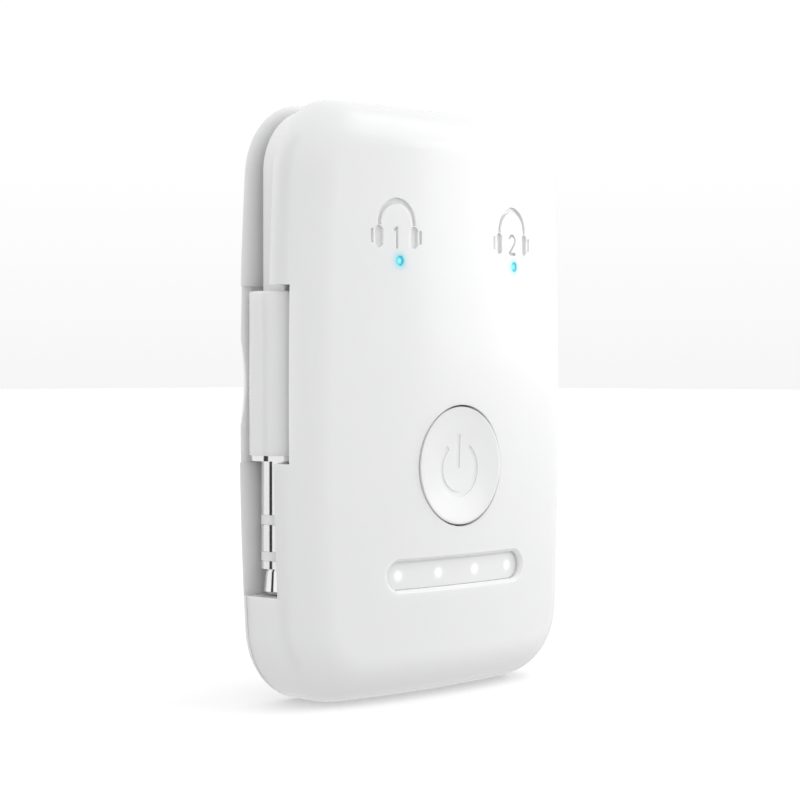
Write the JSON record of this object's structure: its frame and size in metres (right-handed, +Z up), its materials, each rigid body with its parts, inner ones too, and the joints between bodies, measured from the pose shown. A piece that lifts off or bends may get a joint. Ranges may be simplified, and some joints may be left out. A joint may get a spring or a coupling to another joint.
{
  "type": "bluetooth audio receiver",
  "caption": "Pocket wireless audio receiver: white pillow-shaped case with power button, status lamps, battery gauge window and a fold-out audio plug on a flat cable.",
  "frame": {"origin": "middle of the case's width and depth, at the height of its lowest edge as it stands upright", "axes": "+Z up along the case's long side, +X across the width away from the plug, -Y the way the face with the button looks"},
  "size_m": [0.0414, 0.012, 0.06],
  "materials": {
    "case_white": "glossy moulded ABS",
    "diffuser": "translucent frosted plastic",
    "light_pipe": "clear moulded plastic lit blue",
    "lamp_body": "surface-mount lamp",
    "circuit_board": "solder-mask green laminate",
    "chip_black": "moulded epoxy",
    "tinned_steel": "tinned stamping",
    "ceramic_part": "sintered ceramic",
    "screw_steel": "plain zinc",
    "contact_gold": "gold flash",
    "cell_foil": "laminated foil pouch",
    "foam": "double-sided foam",
    "lead_insulation": "soft insulation",
    "cable_white": "satin elastomer jacket",
    "plug_metal": "bright nickel plating",
    "plug_insulation": "matt nylon"
  },
  "bodies": {
    "case": {"front_housing": "case_white", "rear_cover": "case_white", "battery_window": "diffuser", "status_light_pipes": "light_pipe", "main_board": "circuit_board", "battery_level_lamps": "lamp_body", "status_lamps": "lamp_body", "bluetooth_chip": "chip_black", "shield_can": "tinned_steel", "crystal_can": "tinned_steel", "chip_antenna": "ceramic_part", "microphone": "tinned_steel", "charge_chip": "chip_black", "passive_parts": "ceramic_part", "switch_base": "chip_black", "board_screws": "screw_steel", "usb_receptacle_shell": "tinned_steel", "usb_tongue": "chip_black", "usb_contacts": "contact_gold", "battery_cell": "cell_foil", "battery_pad": "foam", "battery_leads": "lead_insulation", "cable_wires": "lead_insulation", "flat_cable": "cable_white", "cable_anchor": "case_white"},
    "button": {"power_button": "case_white", "switch_plunger": "chip_black"},
    "plug": {"plug_barrel": "case_white", "plug_collar": "plug_metal", "plug_sleeve": "plug_metal", "plug_insulator_upper": "plug_insulation", "plug_ring": "plug_metal", "plug_insulator_lower": "plug_insulation", "plug_tip": "plug_metal", "plug_core": "plug_insulation", "cable_tail": "cable_white"}
  },
  "joints": [
    {"name": "button_press", "type": "slide", "parent": "case", "child": "button", "axis": [0, 1, 0], "range_m": [0, 0.0003], "stiffness_N_per_m": 1500},
    {"name": "plug_swing", "type": "hinge", "parent": "case", "child": "plug", "pos_m": [-0.0177, 0.0023, 0.0507], "axis": [0, 1, 0], "range_deg": [0, 120]}
  ]
}
